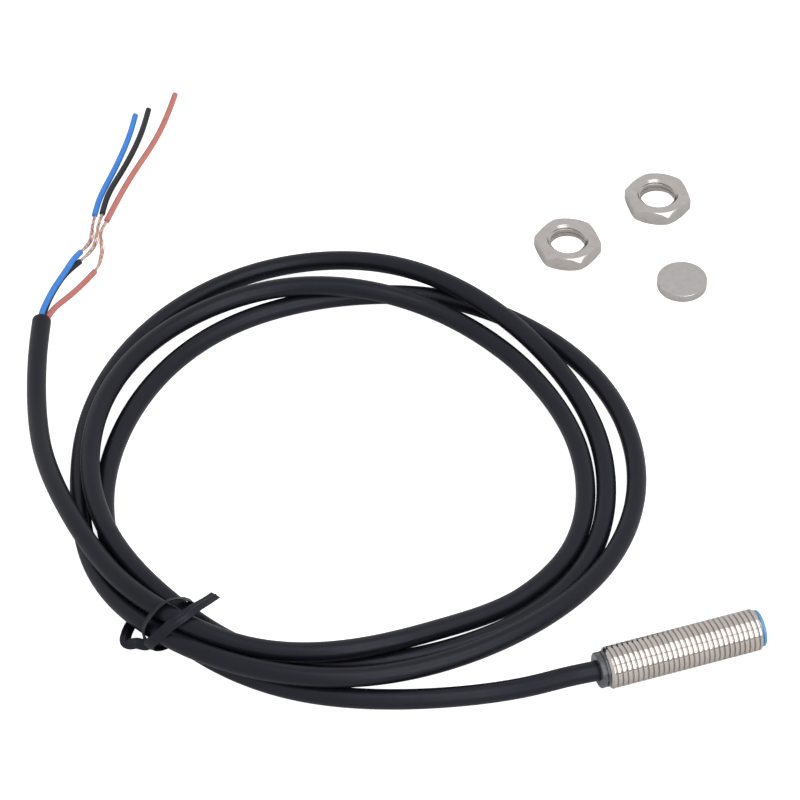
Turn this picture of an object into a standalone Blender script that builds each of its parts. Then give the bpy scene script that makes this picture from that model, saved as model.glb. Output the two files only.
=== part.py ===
"""Threaded Hall-effect proximity sensor, M8 x 1, with its tied cable, lock nuts and target magnet.

The sensing face's centre is the origin, and +X runs along the barrel, out of the sensing face.
+Z is up. Everything lies on one level surface, a barrel radius below the origin.
"""
import math

import bmesh
import bpy
import numpy as np
from mathutils import Matrix, Vector

MM = 0.001
GAP = 0.3 * MM                       # air between neighbouring solids

# Barrel: M8 x 1 thread over its whole length
PITCH = 1.0 * MM
CREST_RADIUS = 4.0 * MM
ROOT_RADIUS = 3.5 * MM
BARREL_LENGTH = 30.0 * MM
BARREL_BORE_RADIUS = 2.95 * MM
CAP_PROUD = 0.7 * MM                 # how far the cap stands out of the barrel
FLOOR_Z = -CREST_RADIUS
BARREL_FRONT_X = -CAP_PROUD
BARREL_REAR_X = BARREL_FRONT_X - BARREL_LENGTH

# Sensing cap and rear bush
CAP_RADIUS = 3.5 * MM
CAP_EDGE = 0.3 * MM
CAP_SKIRT_RADIUS = BARREL_BORE_RADIUS - 0.05 * MM - GAP
CAP_SKIRT_LENGTH = 4.5 * MM
CAP_WALL = 0.5 * MM
BUSH_RADIUS = 3.4 * MM
BUSH_EDGE = 0.25 * MM
BUSH_PROUD = 1.7 * MM
BUSH_FLANGE = 0.9 * MM               # the outer ring's length, then a groove, then a second ring
BUSH_GROOVE = 0.3 * MM
BUSH_GROOVE_DEPTH = 0.3 * MM
BUSH_SKIRT_LENGTH = 3.0 * MM
BUSH_REAR_X = BARREL_REAR_X - BUSH_PROUD

# Circuit board and what is soldered to it
BOARD_LENGTH = 15.0 * MM
BOARD_WIDTH = 4.0 * MM
BOARD_THICKNESS = 0.6 * MM
BOARD_REAR_X = -22.0 * MM
BOARD_Z = -0.3 * MM
HALL_CHIP_SIZE = (1.6 * MM, 3.2 * MM, 3.0 * MM)
HALL_CHIP_X = -2.6 * MM
HALL_CHIP_EDGE = 0.2 * MM
PACKAGE_EDGE = 0.1 * MM
# Size, distance behind the board's front and sideways place in mm, and the face: 1 upper, -1 lower
COMPONENTS = {
    "output_transistor": ((2.9, 1.4, 1.0), 4.0, 0.0, 1),
    "protection_diode": ((2.6, 1.5, 1.0), 9.0, 0.9, 1),
    "pull_up_resistor": ((1.6, 0.8, 0.5), 9.0, -1.1, 1),
    "filter_capacitor": ((2.0, 1.25, 0.8), 5.0, 0.0, -1),
    "indicator_led": ((1.6, 0.8, 0.8), 12.5, 0.0, 1),
}
INNER_WIRE_RADIUS = 0.4 * MM
INNER_WIRE_SPREAD = 1.2 * MM         # between neighbouring wires at the board
INNER_WIRE_SQUEEZE = 0.75            # how much closer together they are at the cable's end
INNER_WIRE_LAP = 2.0 * MM            # how far they run under the board

# Resin behind the board
PLUG_TO_BOARD = 0.8 * MM
PLUG_TO_CABLE = 1.2 * MM
PLUG_PASSAGE_RADIUS = 2.2 * MM

# Cable and its cores
CABLE_RADIUS = 1.9 * MM
CORE_RADIUS = 0.6 * MM
STRAND_RADIUS = 0.3 * MM
SLEEVE_RADIUS = 0.6 * MM
CABLE_INNER_END_X = BARREL_REAR_X + 4.5 * MM
LEAD_CLOCKS = (264.0, 258.7)         # directions where the lead's tube ends, and the coil takes it in
TAIL_CLOCKS = (176.3, 169.0)         # directions where the coil lets the tail go, and its tube starts

# Coil: three loose turns, tied at one place
COIL_CENTRE = Vector((-55.5, 67.0, 0.0)) * MM
TIE_CLOCK = 210
STATION_STEP = 20                    # degrees between the stations of a turn
# (radius, height of the centreline above the surface) in mm, clockwise from the tie
TURNS = (
    ((56.6, 2.8), (53.0, 2.1), (49.4, 1.9), (46.7, 1.9), (45.4, 1.9), (44.9, 1.9),
     (44.6, 1.9), (45.3, 1.9), (47.2, 1.9), (48.6, 1.9), (50.4, 1.9), (52.0, 1.9),
     (53.3, 2.0), (54.1, 2.8), (54.8, 4.2), (56.3, 5.0), (58.7, 5.5), (60.1, 5.8)),
    ((59.8, 4.7), (57.4, 2.2), (54.3, 1.9), (53.8, 1.9), (54.4, 1.9), (55.4, 1.9),
     (55.8, 2.1), (53.1, 3.7), (47.8, 5.7), (45.5, 4.4), (45.2, 2.4), (45.9, 1.9),
     (47.7, 1.9), (50.2, 1.9), (51.3, 1.9), (51.4, 1.9), (52.5, 1.9), (53.3, 2.2)),
    ((53.3, 5.5), (52.7, 6.1), (52.0, 5.6), (51.5, 5.1), (51.0, 4.4), (49.5, 4.3),
     (46.4, 5.4), (43.2, 5.4), (42.1, 3.1), (40.8, 1.9), (40.2, 1.9), (41.4, 1.9),
     (43.7, 1.9), (46.2, 1.9), (46.8, 1.9), (47.7, 3.8), (52.2, 6.0), (55.7, 6.2)),
)
# Free stretches of the cable: (x, y, height above the surface) in mm
LEAD_ROUTE = ((-32.4, 0.0, 4.0), (-35.0, 0.2, 4.0), (-38.5, 0.7, 3.6), (-43.5, 1.4, 2.8),
              (-49.0, 2.4, 2.1), (-55.5, 3.6, 1.9), (-66.0, 6.2, 1.9), (-76.3, 10.0, 1.9),
              (-85.5, 15.1, 1.9), (-93.4, 21.8, 2.0), (-99.8, 29.7, 2.4))
TAIL_ROUTE = ((-104.8, 37.6, 7.7), (-109.3, 47.0, 7.2), (-111.8, 57.1, 6.5), (-113.1, 67.0, 5.9),
              (-113.5, 77.2, 4.7), (-112.9, 87.9, 3.2), (-110.9, 99.0, 2.2), (-108.5, 108.0, 1.9),
              (-105.7, 116.5, 1.9), (-102.9, 123.8, 1.9))
COIL_SECTIONS = 48
COIL_CHAMFER = 1.6 * MM
FLAT_COIL_CHAMFER = 1.1 * MM         # where no turn lies on another
FLAT_COIL_HEIGHT = 3.0 * CABLE_RADIUS
WAIST_HALF_ANGLE = 8.0               # degrees each side of the tie where the coil is at its narrowest

# Twist tie: a flat ribbon, wound once and a half round the bundle
TIE_WIDTH = 2.0 * MM
TIE_THICKNESS = 0.5 * MM
TIE_FIRST_CORNER = 3                 # the bundle's outline has eight corners, counted from its underside
TIE_CORNERS = 14                     # how many of them the ribbon goes round
TIE_HEAD_START = 0.8                 # turns wound before the tie's own place
TIE_PITCH = 2.6 * MM                 # how far the ribbon moves along the bundle in one turn
TIE_FREE_END = Vector((-93.5, 39.0, 9.6)) * MM

# Stripped end: (x, y, height above the surface) in mm
CORES = {
    "blue": ((-102.8, 124.4, 2.6), (-100.9, 127.3, 2.9), (-98.2, 131.0, 2.7),
             (-95.0, 134.8, 2.4), (-92.4, 138.1, 1.9), (-89.9, 141.1, 0.8)),
    "black": ((-102.6, 124.5, 1.15), (-100.3, 129.0, 0.8), (-97.5, 132.9, 0.65),
              (-94.5, 136.1, 0.62), (-90.7, 138.7, 0.62)),
    "brown": ((-101.7, 123.9, 1.8), (-99.6, 126.4, 1.6), (-96.7, 128.8, 1.0),
              (-92.4, 132.0, 0.62), (-88.7, 135.0, 0.62)),
}
STRANDS = {
    "blue": ((-89.5, 141.6, 0.6), (-87.4, 143.7, 0.4), (-85.9, 146.8, 0.35), (-84.4, 150.0, 0.55)),
    "black": ((-90.1, 139.2, 0.6), (-86.9, 142.1, 0.8), (-84.7, 146.4, 1.2), (-82.9, 149.9, 0.8)),
    "brown": ((-88.3, 135.5, 0.6), (-86.0, 139.2, 0.4), (-85.1, 142.0, 0.35),
              (-84.5, 144.8, 0.35), (-82.8, 147.8, 0.45)),
}
SLEEVES = {
    "blue": ((-84.2, 150.6, 0.62), (-81.9, 154.9, 0.62), (-78.2, 160.1, 0.62),
             (-73.8, 166.3, 0.62), (-70.3, 171.9, 0.62), (-67.6, 177.0, 0.62)),
    "black": ((-82.6, 150.5, 0.7), (-80.0, 155.3, 0.62), (-75.7, 160.8, 0.62),
              (-70.9, 167.0, 0.62), (-67.4, 172.4, 0.62), (-64.5, 177.8, 0.62)),
    "brown": ((-82.3, 148.3, 0.62), (-78.6, 153.3, 0.62), (-72.8, 160.5, 0.62),
              (-66.4, 167.8, 0.62), (-61.9, 174.0, 0.62), (-57.9, 180.5, 0.62)),
}

# Lock nuts and target magnet
NUT_ACROSS_FLATS = 12.1 * MM
NUT_THICKNESS = 3.3 * MM
NUT_MINOR_RADIUS = 3.5 * MM
NUT_MAJOR_RADIUS = 4.0 * MM
NUT_MOUTH_RADIUS = 4.2 * MM
NUT_FLAT_SHARE = 0.96                # each face is flat out to this share of half the flats
NUT_CHAMFER_SLOPE = 0.6              # drop for each unit outward, on both faces
CUTTER_MARGIN = 0.5 * MM
NUT_PLACES = ((3.0, 110.5, 32.0), (24.9, 117.1, 27.5))      # x, y in mm, and a corner's direction
MAGNET_PLACE = (21.1, 93.7)
MAGNET_RADIUS = 5.0 * MM
MAGNET_THICKNESS = 1.7 * MM
MAGNET_EDGE = 0.15 * MM

ALONG_X = Matrix.Rotation(math.radians(90.0), 4, "Y")       # turns a part made along Z onto +X


def clear_scene():
    for old in list(bpy.data.objects):
        bpy.data.objects.remove(old, do_unlink=True)


def make_collection(name):
    collection = bpy.data.collections.new(name)
    bpy.context.scene.collection.children.link(collection)
    return collection


def material(name, colour, roughness, metallic=0.0):
    finish = bpy.data.materials.new(name)
    finish.use_nodes = True
    shader = finish.node_tree.nodes["Principled BSDF"]
    shader.inputs["Base Color"].default_value = (*colour, 1.0)
    shader.inputs["Roughness"].default_value = roughness
    shader.inputs["Metallic"].default_value = metallic
    return finish


clear_scene()
PARTS = make_collection("proximity_sensor")
CUTTERS = make_collection("cutters")


def add(name, data, finish, collection=None):
    part = bpy.data.objects.new(name, data)
    (collection or PARTS).objects.link(part)
    if finish:
        part.data.materials.append(finish)
    return part


def as_cutter(part):
    part.hide_render = True
    part.display_type = "WIRE"
    return part


def mesh_from(name, fill):
    """A mesh made by fill(bm), smooth except at its sharp edges."""
    mesh = bpy.data.meshes.new(name)
    bm = bmesh.new()
    fill(bm)
    bm.to_mesh(mesh)
    bm.free()
    mesh.shade_smooth()
    mesh.set_sharp_from_angle(angle=math.radians(35.0))
    return mesh


def turned(name, profile, steps, finish, collection=None):
    """A profile of (radius, z) turned about Z: a closed loop, or a line from axis to axis."""
    mesh = bpy.data.meshes.new(name)
    points = [(radius, 0.0, z) for radius, z in profile]
    edges = [(i, i + 1) for i in range(len(points) - 1)]
    if profile[0][0] > 0.0:
        edges.append((len(points) - 1, 0))
    mesh.from_pydata(points, edges, [])
    part = add(name, mesh, finish, collection)
    screw = part.modifiers.new("Turn", "SCREW")
    screw.steps = steps
    screw.render_steps = steps
    screw.use_merge_vertices = True
    screw.merge_threshold = 0.00001
    screw.use_smooth_shade = True
    return part


def box(name, size, centre, finish, edge=0.0):
    def fill(bm):
        bmesh.ops.create_cube(bm, size=1.0, matrix=Matrix.Diagonal((*size, 1.0)))
    part = add(name, mesh_from(name, fill), finish)
    part.location = centre
    if edge:
        bevel = part.modifiers.new("Edge", "BEVEL")
        bevel.width = edge
        bevel.segments = 1
    return part


def disc(name, radius, thickness, segments, edge, finish, collection=None):
    """A flat round piece standing on Z = 0."""
    def fill(bm):
        lift = Matrix.Translation((0.0, 0.0, thickness / 2.0))
        bmesh.ops.create_cone(bm, cap_ends=True, segments=segments, radius1=radius,
                              radius2=radius, depth=thickness, matrix=lift)
    part = add(name, mesh_from(name, fill), finish, collection)
    if edge:
        bevel = part.modifiers.new("Edge", "BEVEL")
        bevel.width = edge
        bevel.segments = 1
        bevel.limit_method = "ANGLE"
    return part


def cut(part, cutter, operation="DIFFERENCE"):
    boolean = part.modifiers.new(operation.title(), "BOOLEAN")
    boolean.operation = operation
    boolean.solver = "EXACT"
    boolean.object = as_cutter(cutter)


def spline_through(points, spacing):
    """Points a given distance apart on the natural cubic spline through the given points."""
    knots = np.array(points, dtype=float)
    spans = np.linalg.norm(np.diff(knots, axis=0), axis=1)
    stations = np.concatenate([[0.0], np.cumsum(spans)])
    count = len(knots)
    system = np.eye(count)
    right = np.zeros((count, 3))
    for i in range(1, count - 1):
        system[i, i - 1:i + 2] = spans[i - 1], 2.0 * (spans[i - 1] + spans[i]), spans[i]
        right[i] = 6.0 * ((knots[i + 1] - knots[i]) / spans[i] - (knots[i] - knots[i - 1]) / spans[i - 1])
    bends = np.linalg.solve(system, right)
    steps = max(2, round(stations[-1] / spacing))
    curve = []
    for s in np.linspace(0.0, stations[-1], steps + 1):
        i = int(np.clip(np.searchsorted(stations, s, side="right") - 1, 0, count - 2))
        ahead, behind, span = stations[i + 1] - s, s - stations[i], spans[i]
        point = (bends[i] * ahead ** 3 + bends[i + 1] * behind ** 3) / (6.0 * span)
        point += (knots[i] / span - bends[i] * span / 6.0) * ahead
        point += (knots[i + 1] / span - bends[i + 1] * span / 6.0) * behind
        curve.append(Vector(point))
    return curve


def placed(route):
    """Route points in millimetres and heights above the surface, as metres in the part's frame."""
    return [Vector((x, y, height)) * MM + Vector((0.0, 0.0, FLOOR_Z)) for x, y, height in route]


def tube(name, points, radius, finish, resolution=2):
    curve = bpy.data.curves.new(name, "CURVE")
    curve.dimensions = "3D"
    curve.bevel_depth = radius
    curve.bevel_resolution = resolution
    curve.use_fill_caps = True
    spline = curve.splines.new("POLY")
    spline.points.add(len(points) - 1)
    for point, place in zip(spline.points, points):
        point.co = (*place, 1.0)
    return add(name, curve, finish)


def clock(point):
    """A point's clock direction in degrees about the coil's centre, and its distance from it."""
    arm = (point - COIL_CENTRE).to_2d()
    return math.degrees(math.atan2(arm.y, arm.x)) % 360.0, arm.length


def coil_stations():
    stations = []
    for turn in TURNS:
        for step, (radius, height) in enumerate(turn):
            angle = math.radians(TIE_CLOCK - STATION_STEP * step)
            spot = Vector((math.cos(angle), math.sin(angle), 0.0)) * radius * MM + COIL_CENTRE
            stations.append(spot + Vector((0.0, 0.0, height * MM + FLOOR_Z)))
    return stations


def cable_centreline():
    """The whole cable outside the barrel, as points 1 mm apart, and nowhere below the surface."""
    points = spline_through(placed(LEAD_ROUTE) + coil_stations() + placed(TAIL_ROUTE), 1.0 * MM)
    for point in points:
        point.z = max(point.z, FLOOR_Z + CABLE_RADIUS)
    return points


def first_past(points, direction):
    """The first point that has reached a clock direction, on the way from the sensor to the tie."""
    return next(i for i, p in enumerate(points) if p.x < COIL_CENTRE.x and clock(p)[0] <= direction)


def last_before(points, direction):
    """The last point that has not yet passed a clock direction, on the way from the tie to the end."""
    return max(i for i, p in enumerate(points) if direction <= clock(p)[0] <= TIE_CLOCK)


# Materials
NICKEL = material("nickel_plated_brass", (0.62, 0.59, 0.54), 0.28, 1.0)
CAP_BLUE = material("sensing_cap_plastic", (0.10, 0.33, 0.66), 0.35)
BUSH_GREY = material("bush_plastic", (0.18, 0.19, 0.20), 0.4)
BOARD_GREEN = material("circuit_board", (0.02, 0.18, 0.07), 0.5)
CHIP_BLACK = material("chip_epoxy", (0.02, 0.02, 0.02), 0.5)
CERAMIC = material("ceramic", (0.45, 0.33, 0.22), 0.5)
LED_RED = material("indicator_lens", (0.75, 0.05, 0.03), 0.25)
POTTING = material("potting_resin", (0.03, 0.03, 0.035), 0.45)
JACKET = material("cable_jacket", (0.015, 0.016, 0.019), 0.45)
TIE_BLACK = material("twist_tie_plastic", (0.02, 0.02, 0.02), 0.5)
CORE_FINISH = {
    "blue": material("blue_insulation", (0.03, 0.21, 0.68), 0.4),
    "black": material("black_insulation", (0.015, 0.016, 0.02), 0.45),
    "brown": material("brown_insulation", (0.55, 0.17, 0.13), 0.45),
}
COPPER = material("copper_strands", (0.80, 0.45, 0.33), 0.3, 1.0)
MAGNET_NICKEL = material("magnet_nickel", (0.60, 0.57, 0.53), 0.3, 1.0)
COMPONENT_FINISH = {
    "output_transistor": CHIP_BLACK,
    "protection_diode": CHIP_BLACK,
    "pull_up_resistor": CERAMIC,
    "filter_capacitor": CERAMIC,
    "indicator_led": LED_RED,
}


def threaded_barrel():
    """A tube whose outside is turned to the thread's profile, one V for each pitch."""
    rear, front = BARREL_REAR_X, BARREL_FRONT_X
    lead_in = (CREST_RADIUS + ROOT_RADIUS) / 2.0
    profile = [(BARREL_BORE_RADIUS, front), (lead_in, front)]
    for turn in range(round(BARREL_LENGTH / PITCH)):
        crest = front - (turn + 0.5) * PITCH
        profile.append((CREST_RADIUS, crest))
        if crest - PITCH / 2.0 > rear + PITCH / 4.0:
            profile.append((ROOT_RADIUS, crest - PITCH / 2.0))
    profile += [(lead_in, rear), (BARREL_BORE_RADIUS, rear)]
    barrel = turned("threaded_barrel", profile, 24, NICKEL)
    barrel.matrix_world = ALONG_X


def sensing_face_cap():
    """A cup: its flat end closes the barrel, and its skirt goes inside."""
    seat = BARREL_FRONT_X + GAP
    skirt_end = seat - CAP_SKIRT_LENGTH
    profile = [(0.0, 0.0), (CAP_RADIUS - CAP_EDGE, 0.0), (CAP_RADIUS, -CAP_EDGE), (CAP_RADIUS, seat),
               (CAP_SKIRT_RADIUS, seat), (CAP_SKIRT_RADIUS, skirt_end),
               (CAP_SKIRT_RADIUS - CAP_WALL, skirt_end), (CAP_SKIRT_RADIUS - CAP_WALL, -CAP_WALL),
               (0.0, -CAP_WALL)]
    cap = turned("sensing_face_cap", profile, 32, CAP_BLUE)
    cap.matrix_world = ALONG_X


def rear_bush():
    """The ring that holds the cable: two collars outside the barrel and a skirt inside it."""
    bore = CABLE_RADIUS + GAP
    seat = BARREL_REAR_X - GAP
    flange = BUSH_REAR_X + BUSH_FLANGE
    groove = flange + BUSH_GROOVE
    neck = BUSH_RADIUS - BUSH_GROOVE_DEPTH
    inside = seat + BUSH_SKIRT_LENGTH
    profile = [(bore, BUSH_REAR_X), (BUSH_RADIUS - BUSH_EDGE, BUSH_REAR_X),
               (BUSH_RADIUS, BUSH_REAR_X + BUSH_EDGE), (BUSH_RADIUS, flange), (neck, flange),
               (neck, groove), (BUSH_RADIUS, groove), (BUSH_RADIUS, seat),
               (CAP_SKIRT_RADIUS, seat), (CAP_SKIRT_RADIUS, inside), (bore, inside)]
    bush = turned("rear_bush", profile[::-1], 32, BUSH_GREY)
    bush.matrix_world = ALONG_X


def electronics():
    """The board with its components, and the magnetic sensor that stands behind the cap."""
    centre = (BOARD_REAR_X + BOARD_LENGTH / 2.0, 0.0, BOARD_Z)
    box("circuit_board", (BOARD_LENGTH, BOARD_WIDTH, BOARD_THICKNESS), centre, BOARD_GREEN)
    box("hall_sensor_chip", HALL_CHIP_SIZE, (HALL_CHIP_X, 0.0, 0.0), CHIP_BLACK, HALL_CHIP_EDGE)
    for name, (size, behind, sideways, face) in COMPONENTS.items():
        finish = COMPONENT_FINISH[name]
        x = BOARD_REAR_X + BOARD_LENGTH - behind * MM
        z = BOARD_Z + face * (BOARD_THICKNESS / 2.0 + GAP + size[2] * MM / 2.0)
        edge = PACKAGE_EDGE if finish is CHIP_BLACK else 0.0
        box(name, [side * MM for side in size], (x, sideways * MM, z), finish, edge)


def inner_wires():
    """Three cores from the cable's end, through the resin plug, to the board's lower face."""
    start = CABLE_INNER_END_X + GAP
    end = BOARD_REAR_X + INNER_WIRE_LAP
    z = BOARD_Z - BOARD_THICKNESS / 2.0 - GAP - INNER_WIRE_RADIUS
    for name, place in (("blue", 1.0), ("black", 0.0), ("brown", -1.0)):
        y = place * INNER_WIRE_SPREAD
        route = [Vector((start, y * INNER_WIRE_SQUEEZE, z)), Vector((end, y, z))]
        tube(f"{name}_inner_wire", route, INNER_WIRE_RADIUS, CORE_FINISH[name])


def potting_plug():
    """A short plug of resin behind the board, with a passage for the inner wires."""
    front, rear = BOARD_REAR_X - PLUG_TO_BOARD, CABLE_INNER_END_X + PLUG_TO_CABLE
    skin = BARREL_BORE_RADIUS - GAP
    profile = [(PLUG_PASSAGE_RADIUS, rear), (skin, rear), (skin, front), (PLUG_PASSAGE_RADIUS, front)]
    plug = turned("potting_plug", profile[::-1], 24, POTTING)
    plug.matrix_world = ALONG_X


def cable_ends(points):
    """The cable's two free stretches, each a tube: from inside the barrel, and to the stripped end."""
    spacing = 7
    lead_end = first_past(points, LEAD_CLOCKS[0])
    inner = [Vector((x, 0.0, 0.0)) for x in (CABLE_INNER_END_X, BARREL_REAR_X)]
    lead = inner + points[0:lead_end - spacing // 2:spacing] + [points[lead_end]]
    tube("cable_lead", lead, CABLE_RADIUS, JACKET)
    tail_start = last_before(points, TAIL_CLOCKS[1])
    tail = points[-1:tail_start + spacing // 2:-spacing] + [points[tail_start]]
    tube("cable_tail", tail, CABLE_RADIUS, JACKET)


def cable_coil(points):
    """One closed ring with the outer shape of the three turns."""
    width = 360.0 / COIL_SECTIONS
    spread = [[] for _ in range(COIL_SECTIONS)]
    for point in points[first_past(points, LEAD_CLOCKS[1]):last_before(points, TAIL_CLOCKS[0]) + 1]:
        angle, radius = clock(point)
        spread[round(angle / width) % COIL_SECTIONS].append((radius, point.z))
    waist = spread[round(TIE_CLOCK / width)]

    def fill(bm):
        rings = []
        for section in range(COIL_SECTIONS):
            angle = section * width
            near_tie = abs(angle - TIE_CLOCK) <= WAIST_HALF_ANGLE
            strands = waist if near_tie else spread[section]
            inner = min(radius for radius, _ in strands) - CABLE_RADIUS
            outer = max(radius for radius, _ in strands) + CABLE_RADIUS
            low = min(z for _, z in strands) - CABLE_RADIUS
            high = max(z for _, z in strands) + CABLE_RADIUS
            chamfer = COIL_CHAMFER if high - low > FLAT_COIL_HEIGHT else FLAT_COIL_CHAMFER
            outline = chamfered_rectangle(inner, outer, low, high, chamfer)
            turn = Matrix.Rotation(math.radians(angle), 4, "Z")
            rings.append([bm.verts.new(COIL_CENTRE + turn @ Vector((r, 0.0, z))) for r, z in outline])
        for ring, after in zip(rings, rings[1:] + rings[:1]):
            for i in range(len(ring)):
                j = (i + 1) % len(ring)
                bm.faces.new((ring[i], ring[j], after[j], after[i]))
        bmesh.ops.recalc_face_normals(bm, faces=bm.faces)
    add("cable_coil", mesh_from("cable_coil", fill), JACKET)
    return waist


def chamfered_rectangle(left, right, low, high, chamfer):
    """Eight corners, counted from the left end of the lowest side."""
    return [(left + chamfer, low), (right - chamfer, low), (right, low + chamfer),
            (right, high - chamfer), (right - chamfer, high), (left + chamfer, high),
            (left, high - chamfer), (left, low + chamfer)]


def twist_tie(waist):
    """A flat ribbon wound round the coil's waist, with one end standing free over the coil."""
    clearance = GAP + TIE_THICKNESS / 2.0
    inner = min(radius for radius, _ in waist) - CABLE_RADIUS - clearance
    outer = max(radius for radius, _ in waist) + CABLE_RADIUS + clearance
    low = min(z for _, z in waist) - CABLE_RADIUS - clearance
    high = max(z for _, z in waist) + CABLE_RADIUS + clearance
    chamfer = COIL_CHAMFER + clearance * (2.0 - math.sqrt(2.0))
    corners = chamfered_rectangle(inner, outer, low, high, chamfer)
    angle = math.radians(TIE_CLOCK)
    outward = Vector((math.cos(angle), math.sin(angle), 0.0))
    along = Vector((-math.sin(angle), math.cos(angle), 0.0))
    places = []
    for step in range(TIE_CORNERS):
        radius, z = corners[(TIE_FIRST_CORNER - step) % len(corners)]
        drift = along * TIE_PITCH * (step / len(corners) - TIE_HEAD_START)
        places.append(COIL_CENTRE + outward * radius + drift + Vector((0.0, 0.0, z)))
    places.append(TIE_FREE_END + Vector((0.0, 0.0, FLOOR_Z)))

    def fill(bm):
        rings = []
        for i, place in enumerate(places):
            ahead = places[min(i + 1, len(places) - 1)] - places[max(i - 1, 0)]
            across = along - ahead.normalized() * along.dot(ahead.normalized())
            across.normalize()
            normal = ahead.cross(across).normalized()
            half = across * TIE_WIDTH / 2.0
            thick = normal * TIE_THICKNESS / 2.0
            section = (place - half - thick, place + half - thick, place + half + thick, place - half + thick)
            rings.append([bm.verts.new(corner) for corner in section])
        for ring, after in zip(rings, rings[1:]):
            for i in range(4):
                j = (i + 1) % 4
                bm.faces.new((ring[i], ring[j], after[j], after[i]))
        bm.faces.new(rings[0][::-1])
        bm.faces.new(rings[-1])
        bmesh.ops.recalc_face_normals(bm, faces=bm.faces)
    add("twist_tie", mesh_from("twist_tie", fill), TIE_BLACK)


def stripped_end():
    """The three cores, a gap of bare copper on each, and the insulation slid to its tip."""
    for colour in CORES:
        finish = CORE_FINISH[colour]
        tube(f"{colour}_core", spline_through(placed(CORES[colour]), 2.5 * MM), CORE_RADIUS, finish)
        tube(f"{colour}_strands", spline_through(placed(STRANDS[colour]), 1.5 * MM), STRAND_RADIUS, COPPER)
        tube(f"{colour}_tip_sleeve", spline_through(placed(SLEEVES[colour]), 2.5 * MM), SLEEVE_RADIUS, finish)


def nut_rounding(name, corner_radius):
    """The turned blank that a nut's corners are chamfered to, on both faces."""
    flat = NUT_FLAT_SHARE * NUT_ACROSS_FLATS / 2.0
    reach = corner_radius + CUTTER_MARGIN
    drop = (reach - flat) * NUT_CHAMFER_SLOPE
    profile = [(0.0, 0.0), (flat, 0.0), (reach, drop), (reach, NUT_THICKNESS - drop),
               (flat, NUT_THICKNESS), (0.0, NUT_THICKNESS)]
    return turned(f"{name}_rounding", profile[::-1], 48, None, CUTTERS)


def nut_bore(name):
    """A threaded hole with wide mouths: a V for each pitch."""
    mouth = NUT_MOUTH_RADIUS - NUT_MINOR_RADIUS
    thread = [(NUT_MINOR_RADIUS, mouth)]
    while thread[-1][1] + PITCH < NUT_THICKNESS - mouth:
        z = thread[-1][1]
        thread += [(NUT_MAJOR_RADIUS, z + PITCH / 2.0), (NUT_MINOR_RADIUS, z + PITCH)]
    below, above = -CUTTER_MARGIN, NUT_THICKNESS + CUTTER_MARGIN
    widest = NUT_MOUTH_RADIUS + CUTTER_MARGIN
    profile = [(0.0, below), (widest, below), *thread, (NUT_MINOR_RADIUS, NUT_THICKNESS - mouth),
               (widest, above), (0.0, above)]
    return turned(f"{name}_bore", profile[::-1], 24, None, CUTTERS)


def lock_nut(index, x, y, corner):
    """A thin hexagon nut: chamfered corners, and a threaded bore with open mouths."""
    name = f"lock_nut_{index}"
    corner_radius = NUT_ACROSS_FLATS / math.sqrt(3.0)
    nut = disc(name, corner_radius, NUT_THICKNESS, 6, 0.0, NICKEL)
    rounding = nut_rounding(name, corner_radius)
    bore = nut_bore(name)
    cut(nut, rounding, "INTERSECT")
    cut(nut, bore)
    place = Matrix.Translation((x * MM, y * MM, FLOOR_Z)) @ Matrix.Rotation(math.radians(corner), 4, "Z")
    for piece in (nut, rounding, bore):
        piece.matrix_world = place


def target_magnet():
    magnet = disc("target_magnet", MAGNET_RADIUS, MAGNET_THICKNESS, 48, MAGNET_EDGE, MAGNET_NICKEL)
    magnet.location = (MAGNET_PLACE[0] * MM, MAGNET_PLACE[1] * MM, FLOOR_Z)


def build():
    threaded_barrel()
    sensing_face_cap()
    rear_bush()
    electronics()
    inner_wires()
    potting_plug()
    points = cable_centreline()
    cable_ends(points)
    waist = cable_coil(points)
    twist_tie(waist)
    stripped_end()
    for index, (x, y, corner) in enumerate(NUT_PLACES, start=1):
        lock_nut(index, x, y, corner)
    target_magnet()


build()
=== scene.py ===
"""Looks for the M8 proximity sensor: thread, cable, tie, stripped end, lock nuts and magnet."""

import math

import bmesh
import bpy
import numpy as np
from mathutils import Matrix, Vector, noise


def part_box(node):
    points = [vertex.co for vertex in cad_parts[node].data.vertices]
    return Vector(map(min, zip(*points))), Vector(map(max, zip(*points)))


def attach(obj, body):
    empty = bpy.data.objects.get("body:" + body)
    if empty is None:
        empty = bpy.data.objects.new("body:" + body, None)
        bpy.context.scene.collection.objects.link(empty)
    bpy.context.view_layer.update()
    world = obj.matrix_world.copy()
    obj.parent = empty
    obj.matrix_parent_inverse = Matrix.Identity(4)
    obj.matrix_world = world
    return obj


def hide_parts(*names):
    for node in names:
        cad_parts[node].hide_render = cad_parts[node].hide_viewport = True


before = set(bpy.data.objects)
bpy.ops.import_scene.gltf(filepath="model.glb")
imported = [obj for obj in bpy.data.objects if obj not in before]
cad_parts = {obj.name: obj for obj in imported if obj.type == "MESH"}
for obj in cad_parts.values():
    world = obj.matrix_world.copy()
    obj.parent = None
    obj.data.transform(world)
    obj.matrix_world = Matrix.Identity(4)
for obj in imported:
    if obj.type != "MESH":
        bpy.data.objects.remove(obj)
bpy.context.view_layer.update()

MM = 0.001
TURN = 2.0 * math.pi

# Sizes read from the frame
BARREL_LOW, BARREL_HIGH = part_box("threaded_barrel")
BUSH_LOW, BUSH_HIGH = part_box("rear_bush")
CAP_LOW, CAP_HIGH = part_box("sensing_face_cap")
MAGNET_LOW, MAGNET_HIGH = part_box("target_magnet")
CREST_RADIUS = BARREL_HIGH.z
FLOOR_Z = BARREL_LOW.z
BUSH_RADIUS = BUSH_HIGH.z
CAP_RADIUS = CAP_HIGH.z

# M8 x 1 thread
PITCH = 1.0 * MM
THREAD_DEPTH = 0.46 * MM
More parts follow.
